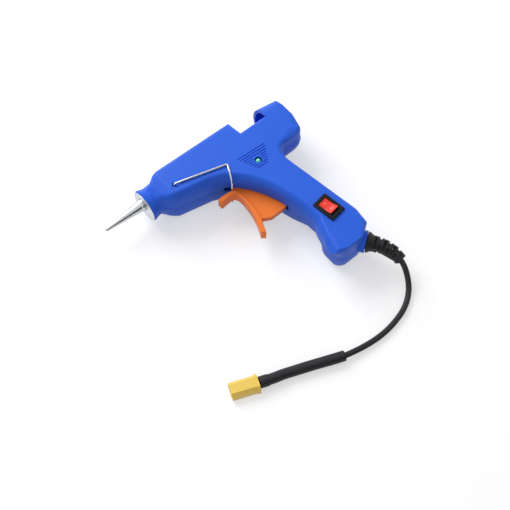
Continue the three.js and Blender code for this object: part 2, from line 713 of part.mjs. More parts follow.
add('lamp_board', surface(block(
  lamp.x - board.length / 2, lamp.x + board.length / 2, lamp.y - board.width / 2, lamp.y + board.width / 2,
  boardTop - board.gauge, boardTop)), laminate);

const resistorBody = new THREE.CylinderGeometry(resistor.radius, resistor.radius, resistor.length, 12);
resistorBody.translate(lamp.x - resistor.offset, lamp.y, boardTop + fit + resistor.radius);
add('lamp_resistor', resistorBody, ceramic);

// Rocker switch, in a group turned along the grip, with its zero at the housing's flat face

const switchGroup = new THREE.Group();
switchGroup.applyMatrix4(rockerSeat);
gun.add(switchGroup);

function crossBar(radius, halfLength) {
  const geometry = new THREE.CylinderGeometry(radius, radius, 2 * halfLength, 14);
  geometry.translate(0, 0, -rocker.axleDepth);
  return solid(geometry);
}

function terminalAt(side, grow, from, to) {
  const x = side * terminal.spacing / 2;
  return block(x - terminal.gauge / 2 - grow, x + terminal.gauge / 2 + grow,
    -terminal.width / 2 - grow, terminal.width / 2 + grow, from, to);
}

function switchFrame() {
  const x = frame.length / 2;
  const y = frame.width / 2;
  const top = fit + frame.rim;
  const edge = frame.rim / 2;
  const openY = rocker.halfWidth + fit;
  const rim = new THREE.ExtrudeGeometry(outline([[-x, -y], [x, -y], [x, y], [-x, y]]), {
    depth: edge, bevelThickness: edge, bevelSize: edge, bevelOffset: -edge, bevelSegments: 2,
  });
  rim.translate(0, 0, fit);
  return solid(rim).intersect(block(-x, x, -y, y, fit, top))
    .add(block(-frame.bodyLength / 2, frame.bodyLength / 2, -frame.bodyWidth / 2, frame.bodyWidth / 2,
      -frame.depth, fit + edge))
    .subtract(block(-frame.openHalf, frame.openHalf, -openY, openY, -frame.pocketDepth, top + overrun))
    .subtract(terminalAt(-1, fit, -frame.depth - overrun, terminal.into + fit - frame.depth))
    .subtract(terminalAt(1, fit, -frame.depth - overrun, terminal.into + fit - frame.depth))
    .subtract(crossBar(rocker.axle + fit, rocker.axleHalf + fit));
}
add('switch_frame', surface(switchFrame()), black, switchGroup);

// The rocker is a shallow V on its axle, tipped with its first end pressed.
function rockerGeometry() {
  const { half: reach, rise, axleDepth, depth } = rocker;
  const valley = rise - reach * Math.tan(radians(rocker.tilt));
  const bottom = -axleDepth - depth;
  const geometry = new THREE.ExtrudeGeometry(outline([
    [-reach, -axleDepth], [-reach / 2, bottom], [reach / 2, bottom], [reach, -axleDepth], [reach, rise],
    [0, valley], [-reach, rise],
  ]), { depth: 2 * rocker.halfWidth, bevelEnabled: false });
  geometry.translate(0, 0, -rocker.halfWidth);
  geometry.rotateX(Math.PI / 2);
  const tipped = surface(solid(geometry).add(crossBar(rocker.axle, rocker.axleHalf)));
  tipped.translate(0, 0, axleDepth);
  tipped.rotateY(radians(-rocker.tilt));
  tipped.translate(0, 0, -axleDepth);
  return tipped;
}
add('switch_rocker', rockerGeometry(), red, switchGroup);

const bladeTop = terminal.into - frame.depth;
add('switch_terminal_1', surface(terminalAt(-1, 0, bladeTop - terminal.length, bladeTop)), brass, switchGroup);
add('switch_terminal_2', surface(terminalAt(1, 0, bladeTop - terminal.length, bladeTop)), brass, switchGroup);

// Housing screws, driven in from the right side

function screwSolid([x, y]) {
  const face = -half + screw.sunk;
  const slotCut = block(x - screw.head - overrun, x + screw.head + overrun,
    y - screw.slotWidth / 2, y + screw.slotWidth / 2, face - overrun, face + screw.slotDepth);
  return join(
    post(screw.head, x, y, face, face + screw.headHeight, 16),
    post(screw.shank, x, y, face, face + screw.length, 12)).subtract(slotCut);
}
for (const [name, place] of Object.entries(screwPlaces)) {
  add(`screw_${name}`, surface(screwSolid(place)), steel);
}

// Strain relief boot: an inner flange behind the neck's face, an outer one, then ribs that taper

function bootStations() {
  const length = bootCurve.getLength();
  const inside = neckAt - neck.face - fit;
  const flangeFrom = neckAt + fit;
  const flangeTo = flangeFrom + boot.flangeWidth;
  const ribFrom = flangeTo + 2 * boot.flangeWidth;
  const pitch = (length - ribFrom) / boot.ribs;
  const stations = [
    [inside - boot.plugWidth, boot.plug], [inside, boot.plug], [inside, boot.root], [flangeFrom, boot.root],
    [flangeFrom, boot.flange], [flangeTo, boot.flange], [flangeTo + boot.flangeWidth, (boot.flange + boot.start) / 2],
    [ribFrom, boot.start],
  ];
  for (let i = 0; i < boot.ribs; i += 1) {
    const at = ribFrom + i * pitch;
    const radius = boot.start + (boot.end - boot.start) * ((i + 1) / boot.ribs);
    stations.push([at + pitch / 3, radius], [at + pitch / 3, radius - boot.ribDepth],
      [at + pitch * 2 / 3, radius - boot.ribDepth], [at + pitch * 2 / 3, radius], [at + pitch, radius]);
  }
  return stations;
}
add('strain_relief', loft(bootCurve, bootStations(), 12), rubber);
add('power_cord', tube(along(cordRoute), cord.radius, 32, 8), black);

function sleeveStations(curve) {
  const length = curve.getLength();
  const stepFrom = length - shrink.stepLength;
  const stations = [];
  for (let i = 0; i <= shrink.rings; i += 1) stations.push([stepFrom * i / shrink.rings, shrink.radius]);
  return [...stations, [stepFrom + fit, shrink.step], [length, shrink.step]];
}
const shrinkCurve = along(shrinkRoute);
add('heat_shrink_sleeve', loft(shrinkCurve, sleeveStations(shrinkCurve), 12), black);

// The connector lies flat, its wire end against the sleeve and its mouth towards the nozzle.

const plugGroup = new THREE.Group();
plugGroup.position.set(plug.x, plug.y, tableZ + plug.height / 2 + plug.proud + plug.clear);
plugGroup.rotation.z = radians(plug.turn);
gun.add(plugGroup);

function plugBar(grow, from, to) {
  const y = plug.width / 2 + grow;
  const z = plug.height / 2 + grow;
  const section = outline([
    [-z, -y], [z - plug.chamfer, -y], [z, plug.chamfer - y], [z, y - plug.chamfer], [z - plug.chamfer, y], [-z, y],
  ]);
  const geometry = new THREE.ExtrudeGeometry(section, { depth: to - from, bevelEnabled: false });
  geometry.translate(0, 0, from);
  geometry.rotateY(Math.PI / 2);
  geometry.rotateX(Math.PI);
  return solid(geometry);
}

function plugHousing() {
  const end = plug.length / 2;
  const hole = (side) => rod(contact.radius + fit, -end - overrun, end + overrun, 14, side * contact.spacing / 2);
  return join(plugBar(0, -end, end), plugBar(plug.proud, end - plug.rim, end))
    .subtract(plugBar(-plug.wall, -end - overrun, -end + plug.mouthDepth))
    .subtract(hole(-1)).subtract(hole(1));
}
add('connector_housing', surface(plugHousing()), yellow, plugGroup);

function contactSolid(side) {
  const from = -plug.length / 2 + plug.mouthDepth - contact.proud;
  const to = from + contact.length;
  const y = side * contact.spacing / 2;
  return rod(contact.radius, from, to, 14, y)
    .subtract(rod(contact.bore, from - overrun, to - contact.radius, 14, y));
}
add('contact_1', surface(contactSolid(-1)), brass, plugGroup);
add('contact_2', surface(contactSolid(1)), brass, plugGroup);

// The gun's own origin: the middle of its box without the lead, at the table.

const lead = ['power_cord', 'heat_shrink_sleeve', 'connector_housing', 'contact_1', 'contact_2'];
gun.updateMatrixWorld(true);
const box = new THREE.Box3();
gun.traverse((part) => {
  if (part.isMesh && !lead.includes(part.name)) box.expandByObject(part, true);
});
const centre = box.getCenter(new THREE.Vector3());
gun.position.set(-centre.x, -centre.y, -box.min.z);

const model = new THREE.Group();
model.add(gun);

export default model;
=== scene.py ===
"""A mini hot glue gun on its side, with its short lead and battery plug, on a white table."""

import math

import bpy
import numpy as np
from mathutils import Matrix, Vector


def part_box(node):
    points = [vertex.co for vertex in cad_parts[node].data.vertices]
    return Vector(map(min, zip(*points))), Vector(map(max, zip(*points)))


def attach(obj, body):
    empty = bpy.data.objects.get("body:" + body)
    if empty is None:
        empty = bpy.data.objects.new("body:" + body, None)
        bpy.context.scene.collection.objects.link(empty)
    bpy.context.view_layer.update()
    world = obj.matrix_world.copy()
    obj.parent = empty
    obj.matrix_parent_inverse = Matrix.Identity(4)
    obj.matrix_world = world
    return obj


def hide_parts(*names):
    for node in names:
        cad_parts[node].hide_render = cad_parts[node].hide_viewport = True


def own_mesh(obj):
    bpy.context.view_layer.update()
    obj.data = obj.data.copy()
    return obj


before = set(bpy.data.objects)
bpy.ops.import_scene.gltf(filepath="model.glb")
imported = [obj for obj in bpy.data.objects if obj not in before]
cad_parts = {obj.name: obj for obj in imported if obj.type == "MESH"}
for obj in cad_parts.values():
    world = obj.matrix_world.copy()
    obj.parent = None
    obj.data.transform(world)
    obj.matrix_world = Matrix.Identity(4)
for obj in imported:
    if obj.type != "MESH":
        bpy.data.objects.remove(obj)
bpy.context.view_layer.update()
mm = 0.001

# Camera: stands over the trigger side of the gun and looks down at the table, a little towards
# the barrel's top, as in a shop photograph. It is aimed at the table in front of the trigger.
nozzle_low, nozzle_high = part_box("nozzle")
nozzle_middle = [(low + high) / 2 for low, high in zip(nozzle_low, nozzle_high)]
gun_zero = Vector((nozzle_low[0], *nozzle_middle[1:]))
aim_behind = 60 * mm
aim_below = 60.9 * mm
look_at = Vector((gun_zero.x + aim_behind, gun_zero.y - aim_below, 0))
camera_distance = 641 * mm
camera_lean = math.radians(27.5)
camera_turn = math.radians(-39.9)
view_angle = math.radians(26)
camera_data = bpy.data.cameras.new("camera")
camera_data.angle = view_angle
camera = bpy.data.objects.new("camera", camera_data)
camera.rotation_euler = (camera_lean, 0, camera_turn)
camera.location = look_at + camera.rotation_euler.to_matrix() @ Vector((0, 0, camera_distance))
bpy.context.scene.collection.objects.link(camera)
bpy.context.scene.camera = camera
bpy.context.scene.view_settings.view_transform = "Standard"


# Power cord: one round black PVC jacket over two wires. It leaves the boot near its own height,
# comes down to the table in a slack bend and runs along it to the sleeve.
def at(x, y, z=0.0):
    """A place on the gun, in millimetres from the nozzle's tip, along the stick, up and to the left."""
    return gun_zero + Vector((x, y, z)) * mm


def table_route(rows):
    """Places of the lead as x and y on the gun and the height above the table."""
    return [Vector((gun_zero.x + x * mm, gun_zero.y + y * mm, height * mm)) for x, y, height in rows]


class Route:
    """A smooth curve through a cord's points, read by the distance along it."""

    def __init__(self, points, steps=24):
        ends = [2 * points[0] - points[1], *points, 2 * points[-1] - points[-2]]
        dense = []
        for before, start, stop, after in zip(ends, ends[1:], ends[2:], ends[3:]):
            lead_in = math.sqrt((start - before).length)
            span = math.sqrt((stop - start).length)
            lead_out = math.sqrt((after - stop).length)
            leave = (start - before) / lead_in - (stop - before) / (lead_in + span) + (stop - start) / span
            arrive = (stop - start) / span - (after - start) / (span + lead_out) + (after - stop) / lead_out
            for step in range(steps):
                t = step / steps
                dense.append(
                    (2 * t**3 - 3 * t**2 + 1) * start + (t**3 - 2 * t**2 + t) * span * leave
                    + (3 * t**2 - 2 * t**3) * stop + (t**3 - t**2) * span * arrive)
        dense.append(points[-1])
        self.dense = np.array(dense)
        gaps = np.linalg.norm(np.diff(self.dense, axis=0), axis=1)
        self.distances = np.concatenate([[0], np.cumsum(gaps)])
        self.length = float(self.distances[-1])

    def point(self, distance):
        return Vector([float(np.interp(distance, self.distances, self.dense[:, i])) for i in range(3)])

    def heading(self, distance):
        near = 0.2 * mm
        ahead = self.point(min(distance + near, self.length))
        behind = self.point(max(distance - near, 0))
        return (ahead - behind).normalized()


def tube(name, path, radius, shares=None, resolution=6):
    """A round tube through a path's points, with a share of its radius at each."""
    curve = bpy.data.curves.new(name, "CURVE")
    curve.dimensions = "3D"
    curve.bevel_depth = radius
    curve.bevel_resolution = resolution
    curve.use_fill_caps = True
    spline = curve.splines.new("POLY")
    spline.points.add(len(path) - 1)
    for i, place in enumerate(path):
        spline.points[i].co = (*place, 1)
        spline.points[i].radius = shares[i] if shares else 1
    spline.use_smooth = True
    piece = bpy.data.objects.new(name, curve)
    bpy.context.scene.collection.objects.link(piece)
    return piece


class Number:
    """A number that varies over a surface or round a room. Arithmetic on it adds Math nodes."""

    def __init__(self, nodes, socket):
        self.nodes = nodes
        self.socket = socket

    def math(self, operation, first, second):
        return self.nodes.node("ShaderNodeMath", {"operation": operation}, {0: first, 1: second})

    def __add__(self, other):
        return self.math("ADD", self, other)

    def __rsub__(self, other):
        return self.math("SUBTRACT", other, self)

    def __mul__(self, other):
        return self.math("MULTIPLY", self, other)


class Nodes:
    """A tree of shader nodes. Sockets hold one value, or are fed by what varies."""

    def __init__(self, tree):
        self.tree = tree

    def join(self, socket, value):
        if isinstance(value, Number):
            self.tree.links.new(value.socket, socket)
        else:
            socket.default_value = value

    def node(self, kind, settings, inputs, output=0):
        node = self.tree.nodes.new(kind)
        for key, value in settings.items():
            setattr(node, key, value)
        for key, value in inputs.items():
            self.join(node.inputs[key], value)
        return Number(self, node.outputs[output])


class Finish(Nodes):
    """A material with one shader, whose constants stand on the shader's own sockets."""

    def __init__(self, name, shade, roughness, **constants):
        self.material = bpy.data.materials.new(name)
        self.material.use_nodes = True
        super().__init__(self.material.node_tree)
        self.shader = self.tree.nodes["Principled BSDF"]
        self.feed("Base Color", shade)
        self.feed("Roughness", roughness)
        for socket, value in constants.items():
            self.feed(socket.replace("_", " "), value)

    def feed(self, socket, value):
        self.join(self.shader.inputs[socket], value)

    def place(self):
        """Where on the object a point of the surface is, in metres."""
        return self.node("ShaderNodeTexCoord", {}, {}, "Object")

    def noise(self, size, detail=2.0, stretch=(1, 1, 1)):
        """Soft random mottling of about the given size, from 0 to 1."""
        spread = self.node("ShaderNodeMapping", {}, {"Vector": self.place(), "Scale": stretch})
        inputs = {"Vector": spread, "Scale": 1 / size, "Detail": detail}
        return self.node("ShaderNodeTexNoise", {}, inputs, "Fac")

    def mix(self, share, first, second):
        """One colour passing into another. A Mix node has its colours on sockets 6 and 7, and output 2."""
        return self.node("ShaderNodeMix", {"data_type": "RGBA"}, {0: share, 6: first, 7: second}, 2)

    def mottle(self, share, roughness, spread):
        """A roughness that wanders evenly to both sides of its value."""
        self.feed("Roughness", share * spread + (roughness - spread / 2))

    def bump(self, height, depth):
        inputs = {"Height": height, "Distance": depth}
        self.feed("Normal", self.node("ShaderNodeBump", {}, inputs, "Normal"))


def colour(red, green, blue):
    """A paint or plastic colour, given as it looks on a screen, from 0 to 255."""
    screen = [part / 255 for part in (red, green, blue)]
    return (*[part / 12.92 if part < 0.04045 else ((part + 0.055) / 1.055) ** 2.4 for part in screen], 1)


def jacket_finish(name, shade, roughness, grain):
    """Extruded plastic: fine scuffs and a faint bloom on a dark ground."""
    bloom_size = 6 * mm
    bloom_gain = 1.6
    bloom_lift = 0.003
    bloom_share = 0.7
    scuff_size = 0.8 * mm
    scuff_spread = 0.18
    grain_depth = 0.03 * mm
    finish = Finish(name, shade, roughness, Specular_IOR_Level=0.35)
    pale = tuple(min(1, part * bloom_gain + bloom_lift) for part in shade[:3])
    finish.feed("Base Color", finish.mix(finish.noise(bloom_size) * bloom_share, shade, (*pale, 1)))
    finish.mottle(finish.noise(scuff_size, detail=4), roughness, scuff_spread)
    finish.bump(finish.noise(grain, detail=3), grain_depth)
    return finish.material


def fit(piece, material, body, slot, *nodes):
    """Gives a finished piece its material and its body, and hides the nodes that it stands for. Its slot is
    not used.
    """
    piece.data.materials.clear()
    piece.data.materials.append(material)
    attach(piece, body)
    if nodes:
        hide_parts(*nodes)
    return piece


cord_diameter = 3.4 * mm
cord_steps = 90
cord_route = Route(table_route([
    (117.7, -121.2, 11.2), (117.3, -124.4, 9.5), (116.2, -128.1, 7), (114.4, -131.7, 4.6),
    (111.9, -135, 2.8), (108.3, -138.1, 2), (104.2, -140.6, 1.75), (99.4, -142.6, 1.75),
    (94, -144, 1.75), (88.2, -145, 1.75), (81.8, -145.4, 1.75), (74.8, -145.1, 1.95),
    (67.7, -144.2, 2.4), (61.9, -143.1, 2.9), (57.2, -141.95, 3.1),
]))
cord_path = [cord_route.point(cord_route.length * i / cord_steps) for i in range(cord_steps + 1)]
power_cord = fit(
    tube("power_cord_jacket", cord_path, cord_diameter / 2),
    jacket_finish("cord_pvc", colour(20, 19, 24), 0.42, 0.5 * mm), "housing", "cord_jacket", "power_cord")

# Heat shrink sleeve: a long piece of black polyolefin tube shrunk over the soldered wires, and a
# second short one over its end at the plug. It follows what is under it, a little wavy.
sleeve_route = Route(table_route([
    (56.9, -141.8, 3.1), (51.3, -139.6, 3.1), (44.4, -136.7, 3.1), (37.4, -133.8, 3.1),
    (30.8, -131.2, 3.1), (24.4, -128.7, 3.2), (17.5, -126.6, 3.5), (10.3, -123.85, 3.55),
]))


def pick(piece):
    """Selects one piece and nothing else."""
    bpy.ops.object.select_all(action="DESELECT")
    piece.select_set(True)
    bpy.context.view_layer.objects.active = piece


def edit(piece):
    """Opens a mesh in edit mode with all of it selected."""
    pick(piece)
    bpy.ops.object.mode_set(mode="EDIT")
    bpy.ops.mesh.select_all(action="SELECT")


def close(piece, angle=40):
    """Leaves edit mode and smooths what bends by less than the angle."""
    bpy.ops.object.mode_set(mode="OBJECT")
    bpy.ops.object.shade_smooth_by_angle(angle=math.radians(angle))
    return piece


def face_out():
    """Turns the faces of the mesh that is being edited outwards."""
    bpy.ops.mesh.select_all(action="SELECT")
    bpy.ops.mesh.normals_make_consistent(inside=False)


same_place = 0.001 * mm


def as_mesh(piece):
    """Turns a curve into a closed mesh."""
    pick(piece)
    bpy.ops.object.convert(target="MESH")
    edit(piece)
    bpy.ops.mesh.remove_doubles(threshold=same_place)
    face_out()
    return close(piece)


def ramp(value, low, high):
    """A smooth share, 0 at the first place and 1 at the second."""
    share = min(1, max(0, (value - low) / (high - low)))
    return share * share * (3 - 2 * share)


def shrink_sleeve():
    radius = 3.05 * mm
    cuff = 3.42 * mm
    cuff_length = 6 * mm
    cuff_slope = 1.3 * mm
    ripple = 0.05 * mm
    long_wave = 6.7 * mm
    short_wave = 4.1 * mm
    lip = 0.35 * mm
    lip_turn = 0.1 * mm
    steps = 70
    length = sleeve_route.length
    rows = []
    for i in range(steps + 1):
        distance = length * i / steps
        wave = ripple * math.sin(distance / short_wave) * math.sin(distance / long_wave)
        over_cuff = ramp(distance - (length - cuff_length), 0, cuff_slope)
        rows.append((distance, radius + wave + (cuff - radius) * over_cuff))
    first = rows[0][1]
    last = rows[-1][1]
    rows = [(0, first - lip), (lip_turn, first - lip / 3), (lip, first), *rows[1:-1],
            (length - lip, last), (length, last - lip)]
    path = [sleeve_route.point(distance) for distance, _ in rows]
    shares = [around / radius for _, around in rows]
    return as_mesh(tube("shrink_sleeve", path, radius, shares, resolution=8))


sleeve = fit(
    shrink_sleeve(), jacket_finish("shrink_polyolefin", colour(19, 19, 25), 0.5, 1.4 * mm),
    "housing", "shrink_sleeve", "heat_shrink_sleeve")


# Battery plug: a yellow nylon shell with two gold plated contacts in its mouth and a thicker rim
# at the wires. The mould left its edges slightly round.
def bench_copy(node, name):
    """A copy of one of the gun's solids, with its loose triangles merged into whole faces."""
    flat_angle = math.radians(0.6)
    piece = bpy.data.objects.new(name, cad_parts[node].data.copy())
    bpy.context.scene.collection.objects.link(piece)
    edit(piece)
    bpy.ops.mesh.customdata_custom_splitnormals_clear()
    bpy.ops.mesh.remove_doubles(threshold=2 * same_place)
    bpy.ops.mesh.dissolve_limited(angle_limit=flat_angle)
    bpy.ops.object.mode_set(mode="OBJECT")
    return piece


def apply(piece, kind, **settings):
    """Adds a modifier to a piece and applies it."""
    pick(piece)
    modifier = piece.modifiers.new(kind.lower(), kind)
    for key, value in settings.items():
        setattr(modifier, key, value)
    bpy.ops.object.modifier_apply(modifier=modifier.name)


def smooth(piece, angle):
    """Smooths what bends by less than the angle, with the large faces leading."""
    pick(piece)
    bpy.ops.object.shade_smooth_by_angle(angle=math.radians(angle))
    apply(piece, "WEIGHTED_NORMAL", keep_sharp=True, weight=80)


def round_edges(piece, width, angle=35, segments=2):
    """Breaks a moulded piece's sharp edges and smooths it."""
    apply(piece, "BEVEL", width=width, segments=segments, limit_method="ANGLE",
          angle_limit=math.radians(angle), harden_normals=False, use_clamp_overlap=True)
    smooth(piece, angle)
    return piece


def moulded_finish(name, shade, roughness, grain=0.35 * mm, depth=0.012 * mm, drift=0.05, gloss=0.5):
    """Injection moulded plastic: a fine spark texture, and colour that drifts a little with its flow."""
    flow_size = 22 * mm
    patch_size = 3 * mm
    patch_spread = 0.1
    finish = Finish(name, shade, roughness, Specular_IOR_Level=gloss)
    deep = tuple(part * (1 - drift * 2) for part in shade[:3])
    finish.feed("Base Color", finish.mix(finish.noise(flow_size, detail=3), shade, (*deep, 1)))
    finish.mottle(finish.noise(patch_size, detail=4), roughness, patch_spread)
    finish.bump(finish.noise(grain), depth)
    return finish.material


plug_shell = fit(
    round_edges(bench_copy("connector_housing", "plug_shell"), 0.22 * mm),
    moulded_finish(
        "yellow_nylon", colour(252, 214, 98), 0.36, grain=0.8 * mm, depth=0.008 * mm, drift=0.04),
    "housing", "yellow_plastic", "connector_housing")


def metal_finish(name, shade, roughness, stretch=(1, 1, 1), line=0.25 * mm, depth=0.004 * mm):
    """Bare metal with the lines of its making, drawn out along or round the piece."""
    tarnish = 0.86
    tarnish_size = 5 * mm
    tarnish_share = 0.5
    line_spread = 0.16
    finish = Finish(name, shade, roughness, Metallic=1.0)
    lines = finish.noise(line, detail=3, stretch=stretch)
    finish.mottle(lines, roughness, line_spread)
    dull = tuple(part * tarnish for part in shade[:3])
    finish.feed("Base Color", finish.mix(finish.noise(tarnish_size) * tarnish_share, shade, (*dull, 1)))
    finish.bump(lines, depth)
    return finish.material


gold_plate = metal_finish("gold_plate", colour(222, 184, 96), 0.24)
plug_contacts = [
    fit(round_edges(bench_copy(node, node + "_plated"), 0.1 * mm), gold_plate, "housing", "brass", node)
    for node in ("contact_1", "contact_2")
]

# Housing: two halves of blue ABS, moulded with a fine spark texture and screwed together. They
# meet in a fine line all round; the left one has the fine lines, the lamp hole and the switch.
housing_half = 27.5 / 2
nose_axis = -1.8
nose_bore = 7.6
lip_radius = 10.1
lip_end = 26.6
lip_inside = 9.6
neck_radius = 9.0
neck_end = 31
funnel_end = 43
funnel_power = 1.4


def draw_nose(x, y, z):
    """The barrel's front narrows like a funnel to a round neck, with a flared lip at the nozzle."""
    radius = math.hypot(y - nose_axis, z)
    if x > funnel_end or radius < nose_bore:
        return y, z
    if x < neck_end:
        flare = 1 + (lip_radius / neck_radius - 1) * ramp(x, neck_end, lip_end)
        target = neck_radius * flare * min(1, radius / lip_inside)
    else:
        share = 1 - (1 - (x - neck_end) / (funnel_end - neck_end)) ** funnel_power
        target = max(min(radius, neck_radius), neck_radius + share * (radius - neck_radius))
    return nose_axis + (y - nose_axis) * target / radius, z * target / radius


def tail_shift(x, y, bulge, left, right):
    """The tail's end is drawn out behind, and its heel down, most at the seam and on the left."""
    end_along = (114, 124)
    end_above = (-32, -24)
    end_corner = (0, -10)
    end_round = 0.9
    end_bulge = 2.1
    heel_along = (102, 106)
    heel_below = (-13, -20)
    heel_above = (-38, -27)
    heel_drop = 3
    heel_lift = 0.9
    edge = max(bulge, left)
    end = ramp(x, *end_along) * ramp(y, *end_above)
    heel = ramp(x, *heel_along) * ramp(y, *heel_below) * ramp(y, *heel_above)
    shift_x = end * ramp(y, *end_corner) * edge * end_round * (1 + left) + end * bulge * end_bulge
    shift_y = heel_lift * heel * right * (1 - bulge) - heel_drop * heel * edge
    return shift_x, shift_y


def flank_shift(x, y, right):
    """The grip's front is rounder above its end on the right, where it is drawn back."""
    below = (-58, -66)
    above = (-88, -82)
    in_front = (101, 96)
    drawn_back = 2.2
    return drawn_back * right * ramp(y, *below) * ramp(y, *above) * ramp(x, *in_front)


def hook_shift(x, y, left):
    """The front corner of the grip's end is hooked forwards on the left."""
    below = (-84, -95)
    above = (-103, -97)
    in_front = (98, 91)
    reach = 3.8
    return reach * left * ramp(y, *below) * ramp(y, *above) * ramp(x, *in_front)


def toe_drop(x, y, left):
    """The grip's end hangs lower on the left, most in the middle of its length."""
    start = -85
    lowest = -95.6
    tip = -102.3
    drop = 6
    least_share = 0.25
    behind = (100, 110)
    in_front = (90.5, 96)
    share = ramp(y, start, lowest) if y > lowest else max(0, (y - tip) / (lowest - tip))
    back = 1 - (1 - least_share) * ramp(x, *behind)
    front = least_share + (1 - least_share) * ramp(x, *in_front)
    return left * drop * share * back * front


def toe_lift(x, y, bulge, right):
    """The lower edge of the grip's end is rounder on the right, and most in front."""
    below = (-90, -100)
    in_front = (98, 90)
    lift = 1.5
    front_lift = 1.2
    return right * (1 - bulge) * (lift + front_lift * ramp(x, *in_front)) * ramp(y, *below)


def corners_of(node):
    """The lowest and the highest corner of one of the gun's solids."""
    return [Vector(corner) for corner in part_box(node)]


screw_flat = 3.2
screw_clear = 6
screw_places = []
for node in ("screw_tail", "screw_grip", "screw_toe"):
    low, high = corners_of(node)
    screw_places.append(((low + high) / 2 - gun_zero) / mm)


def crown(x, y, z):
    """The tail and the grip's end bulge towards the seam, but the seats of the screws stay flat."""
    seam_height = 11
    left_half = (2, 9)
    right_half = (0, -6)
    bulge = 1 - min(1, (z / seam_height) ** 2)
    left = ramp(z, *left_half)
    right = ramp(z, *right_half)
    away = min(
        ramp(math.hypot(x - place.x, y - place.y), screw_flat, screw_clear) for place in screw_places)
    shift_x, shift_y = tail_shift(x, y, bulge, left, right)
    shift_x += flank_shift(x, y, right) - hook_shift(x, y, left)
    shift_y += toe_lift(x, y, bulge, right) - toe_drop(x, y, left)
    return x + shift_x * away, y + shift_y * away


nose_cuts = (27.4, 28.4, 29.6, 31.2, 32.4, 33.6, 34.8, 36, 37.4, 38.8, 40.2, 41.6)
seam_cuts = (-9, -6.5, -3.5, 3.5, 6.5, 9)


def mould(piece):
    """Adds cuts across the nose and along the seam, and draws the half round between them."""
    edit(piece)
    cuts = [(at(x, 0), (1, 0, 0)) for x in nose_cuts]
    cuts += [(at(0, 0, z), (0, 0, 1)) for z in seam_cuts]
    for place, normal in cuts:
        bpy.ops.mesh.select_all(action="SELECT")
        bpy.ops.mesh.bisect(plane_co=place, plane_no=normal)
    bpy.ops.object.mode_set(mode="OBJECT")
    for vertex in piece.data.vertices:
        x, y, z = (vertex.co - gun_zero) / mm
        y, z = draw_nose(x, y, z)
        x, y = crown(x, y, z)
        vertex.co = at(x, y, z)


recess_depth = 0.7
recess_outline = (
    (43.7, -6.6), (44.6, -6.6), (49.6, -10.6), (44.4, -9.7), (43, -9.2), (39.4, -11.7), (38.7, -11.2),
    (42.4, -8.2),
)


def stand_recess():
    """A shallow recess under the stand's pivot, with a slit that the wire was sprung in through."""
    overrun = 2 * mm
    mesh = bpy.data.meshes.new("stand_recess")
    corners = [at(x, y, housing_half - recess_depth) for x, y in recess_outline]
    mesh.from_pydata(corners, [], [tuple(range(len(corners)))])
    cutter = bpy.data.objects.new("stand_recess", mesh)
    bpy.context.scene.collection.objects.link(cutter)
    edit(cutter)
    bpy.ops.mesh.extrude_region_move(TRANSFORM_OT_translate={"value": (0, 0, overrun)})
    face_out()
    bpy.ops.object.mode_set(mode="OBJECT")
    return cutter


def cut(piece, cutter):
    """Takes a cutter's shape out of a piece, and the cutter off the bench."""
    apply(piece, "BOOLEAN", object=cutter, operation="DIFFERENCE", solver="EXACT")
    bpy.data.objects.remove(cutter)


blue_abs = moulded_finish("blue_abs", colour(36, 99, 228), 0.45, gloss=0.3)
for node in ("left_shell", "right_shell"):
    half_shell = bench_copy(node, node + "_moulded")
    mould(half_shell)
    if node == "left_shell":
        cut(half_shell, stand_recess())
    smooth(half_shell, 34)
    fit(half_shell, blue_abs, "housing", "blue_housing", node)


# Nozzle: turned from aluminium bar. A long cone to the tip, a flange that seats on the heat plate
# and a shank that is screwed into the melt chamber.
def primitive(name, add, **sizes):
    """Adds a primitive with nothing else selected, and its size and place in its mesh."""
    bpy.ops.object.select_all(action="DESELECT")
    add(**sizes)
    piece = bpy.context.active_object
    piece.name = name
    bpy.ops.object.transform_apply(location=True, rotation=True, scale=True)
    return piece


along_stick = (0, math.pi / 2, 0)


def turned(name, rings, axis=0):
    """A round piece along the gun, drawn out ring by ring as radius and place."""
    radius, x = rings[0]
    piece = primitive(
        name, bpy.ops.mesh.primitive_circle_add, vertices=64, radius=radius * mm, fill_type="NOTHING",
        location=at(x, axis), rotation=along_stick)
    edit(piece)
    for (radius, x), (next_radius, next_x) in zip(rings, rings[1:]):
        bpy.ops.mesh.extrude_edges_move(TRANSFORM_OT_translate={"value": ((next_x - x) * mm, 0, 0)})
        grow = next_radius / radius
        bpy.ops.transform.resize(value=(1, grow, grow), center_override=at(next_x, axis))
    bpy.ops.mesh.select_all(action="SELECT")
    bpy.ops.mesh.remove_doubles(threshold=same_place)
    face_out()
    return close(piece, 30)


nozzle_rings = [
    (0.8, 0.12), (0.92, 0), (1.08, 0), (1.2, 0.14), (1.94, 8.1), (2.66, 16.2), (3.36, 23.8), (3.43, 24.2),
    (3.82, 24.64), (3.9, 24.8), (3.9, 25.85), (3.8, 26), (3, 26), (3, 37.6), (1.7, 37.6), (1.7, 18),
    (0.8, 16.3), (0.8, 0.12),
]
turned_aluminium = metal_finish(
    "turned_aluminium", colour(204, 206, 210), 0.24, stretch=(9, 0.15, 0.15), line=0.4 * mm)
fit(turned("nozzle_turned", nozzle_rings), turned_aluminium, "housing", "aluminium", "nozzle")


# Heat plate: a thin bright disc on the housing's front, held by the nozzle's flange. It keeps the
# heat and any stray glue off the blue plastic.
def heat_plate():
    back = 26.26
    front = 26.02
    rim = 9.5
    edge = 0.06
    middle = 1
    hole = 3.2
    rings = [
        (middle, back), (rim - edge, back), (rim, back - edge), (rim, front + edge), (rim - edge, front),
        (middle, front), (middle, back),
    ]
    plate = turned("heat_plate", rings, nose_axis)
    cut(plate, primitive(
        "plate_hole", bpy.ops.mesh.primitive_cylinder_add, vertices=48, radius=hole * mm, depth=2 * mm,
        location=at(front, 0), rotation=along_stick))
    return plate


